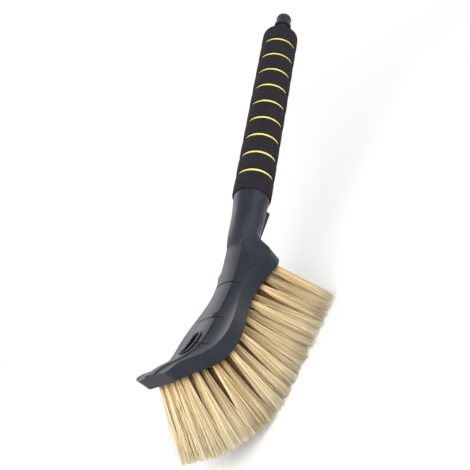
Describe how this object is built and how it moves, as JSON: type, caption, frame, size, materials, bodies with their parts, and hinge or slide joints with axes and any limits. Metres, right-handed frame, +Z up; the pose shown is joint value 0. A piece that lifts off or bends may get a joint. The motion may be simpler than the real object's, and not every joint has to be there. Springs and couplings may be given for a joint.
{
  "type": "car wash brush",
  "caption": "Hand brush for washing cars: long soft bristles on a curved head, a foam grip and a hose inlet at the handle's end.",
  "frame": {"origin": "centre of the brush's box, on the plane that the bristle tips stand on", "axes": "+X from the toe of the head to the hose inlet, +Y across the head, +Z up from the bristle tips"},
  "size_m": [0.4569, 0.0778, 0.1724],
  "materials": {
    "shell_plastic": "fine moulded grain, satin",
    "block_plastic": "plain moulded",
    "connector_plastic": "smooth moulded, satin",
    "anchor_metal": "drawn wire",
    "seal_rubber": "smooth",
    "grip_foam": "fine closed-cell foam, matte",
    "stripe_rubber": "foam, matte yellow",
    "bristle_fibre": "straight straw-coloured fibres with paler split tips"
  },
  "bodies": {
    "root": {"head_body": "shell_plastic", "bristle_block": "block_plastic", "tuft_anchors": "anchor_metal", "hose_connector": "connector_plastic", "nose_seal": "seal_rubber", "spigot_seal": "seal_rubber", "foam_ring_01": "grip_foam", "foam_ring_02": "grip_foam", "foam_ring_03": "grip_foam", "foam_ring_04": "grip_foam", "foam_ring_05": "grip_foam", "foam_ring_06": "grip_foam", "foam_ring_07": "grip_foam", "foam_ring_08": "grip_foam", "foam_ring_09": "grip_foam", "foam_ring_10": "grip_foam", "yellow_ring_1": "stripe_rubber", "yellow_ring_2": "stripe_rubber", "yellow_ring_3": "stripe_rubber", "yellow_ring_4": "stripe_rubber", "yellow_ring_5": "stripe_rubber", "yellow_ring_6": "stripe_rubber", "yellow_ring_7": "stripe_rubber", "yellow_ring_8": "stripe_rubber", "yellow_ring_9": "stripe_rubber", "bristles_heel": "bristle_fibre", "bristles_rear": "bristle_fibre", "bristles_rear_waist": "bristle_fibre", "bristles_waist": "bristle_fibre", "bristles_middle": "bristle_fibre", "bristles_bend": "bristle_fibre", "bristles_front": "bristle_fibre", "bristles_toe": "bristle_fibre"}
  },
  "joints": []
}
